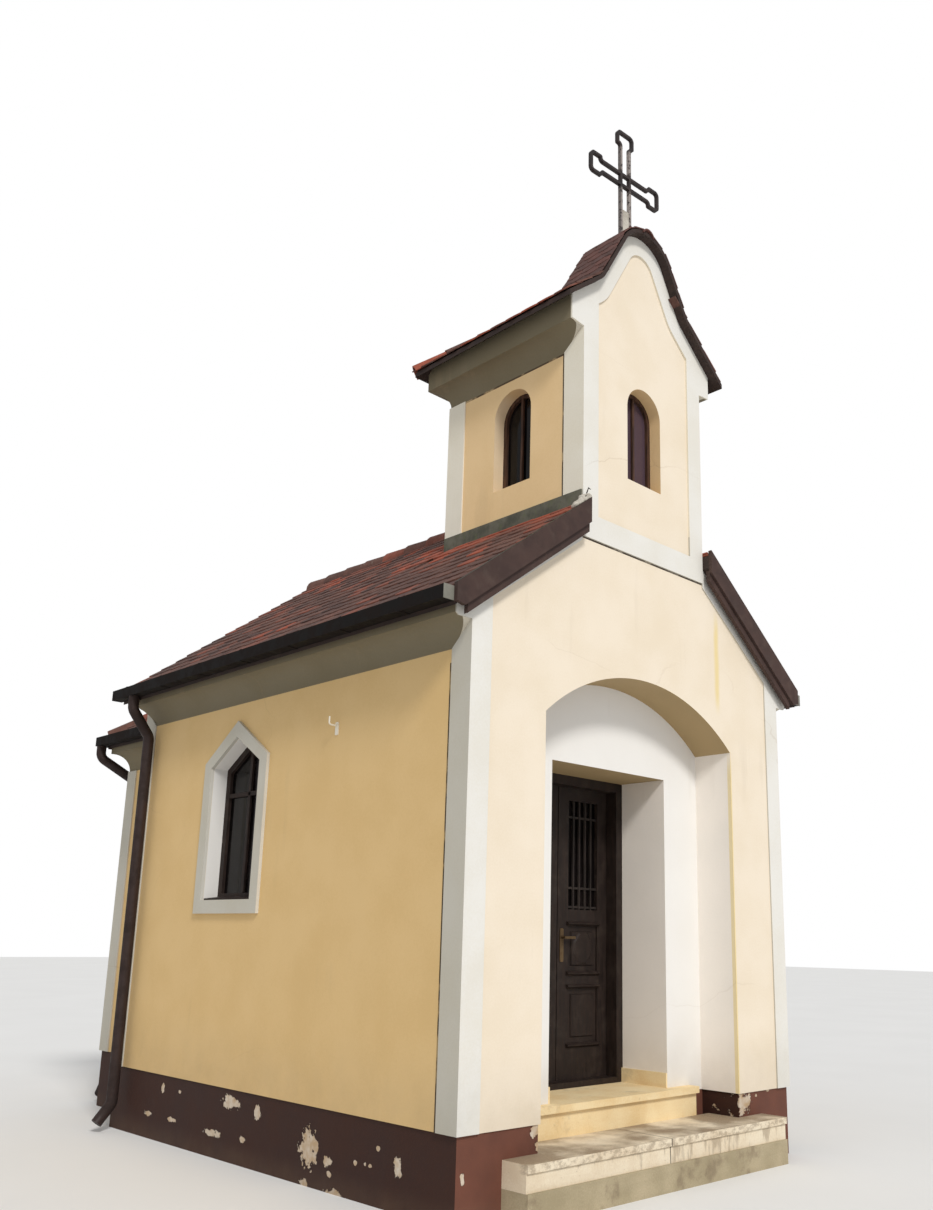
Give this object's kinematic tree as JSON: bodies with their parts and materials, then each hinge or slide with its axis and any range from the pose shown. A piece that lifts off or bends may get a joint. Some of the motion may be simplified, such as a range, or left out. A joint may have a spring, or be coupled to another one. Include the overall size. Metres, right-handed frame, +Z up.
{
  "type": "chapel",
  "caption": "Small plastered chapel with a niche doorway, a gabled tiled roof, a belfry with a crowned front gable and a cross, and a low hipped rear room.",
  "frame": {"origin": "on the centre line, in the facade's plane, at the lowest ground", "axes": "+X to the right along the facade, +Y into the building, +Z up"},
  "size_m": [3.97, 5.795, 8.055],
  "materials": {
    "ochre_plaster": "painted, matt",
    "white_plaster": "painted, matt",
    "plinth_paint": "painted and peeling",
    "sandstone": "worn",
    "rough_concrete": "rough",
    "clay_tile": "weathered",
    "dark_timber": "painted, worn",
    "dark_metal": "weathered",
    "sheet_metal": "dull",
    "cross_mortar": "rough",
    "window_glass": "dusty",
    "aged_brass": "tarnished"
  },
  "bodies": {
    "building": {"apse_plinth": "plinth_paint", "apse_roof": "clay_tile", "apse_walls": "ochre_plaster", "bargeboards": "dark_timber", "belfry_cornices": "white_plaster", "belfry_flashing": "sheet_metal", "belfry_front_frame": "white_plaster", "belfry_front_wall": "ochre_plaster", "belfry_pilasters": "white_plaster", "belfry_rear_wall": "ochre_plaster", "belfry_roof": "clay_tile", "belfry_side_walls": "ochre_plaster", "corner_pilasters": "white_plaster", "cross": "dark_metal", "cross_post": "cross_mortar", "door_frame": "dark_timber", "door_head_wall": "white_plaster", "door_step": "sandstone", "downspouts": "dark_metal", "eaves_cornices": "white_plaster", "facade_gable": "ochre_plaster", "front_pier_left": "ochre_plaster", "front_pier_right": "ochre_plaster", "front_plinths": "plinth_paint", "gutters": "dark_metal", "left_roof": "clay_tile", "left_wall": "ochre_plaster", "lower_step": "sandstone", "nave_ceiling": "white_plaster", "nave_floor": "sandstone", "raking_bands": "white_plaster", "rear_wall": "ochre_plaster", "reveal_skirtings": "sandstone", "ridge_tiles": "clay_tile", "right_roof": "clay_tile", "right_wall": "ochre_plaster", "side_plinths": "plinth_paint", "step_footing": "rough_concrete", "wall_hook": "dark_metal", "window_frames": "dark_timber", "window_glass": "window_glass", "window_surrounds": "white_plaster"},
    "left_door": {"door_leaf_left": "dark_timber", "door_grille_left": "dark_metal", "door_pane_left": "window_glass"},
    "right_door": {"door_leaf_right": "dark_timber", "door_grille_right": "dark_metal", "door_pane_right": "window_glass", "door_handles": "aged_brass"}
  },
  "joints": [
    {"name": "left_door_hinge", "type": "hinge", "parent": "building", "child": "left_door", "pos_m": [-0.5575, 0.904, 1.6], "axis": [0, 0, 1], "range_deg": [0, 100]},
    {"name": "right_door_hinge", "type": "hinge", "parent": "building", "child": "right_door", "pos_m": [0.5575, 0.904, 1.6], "axis": [0, 0, -1], "range_deg": [0, 100]}
  ]
}
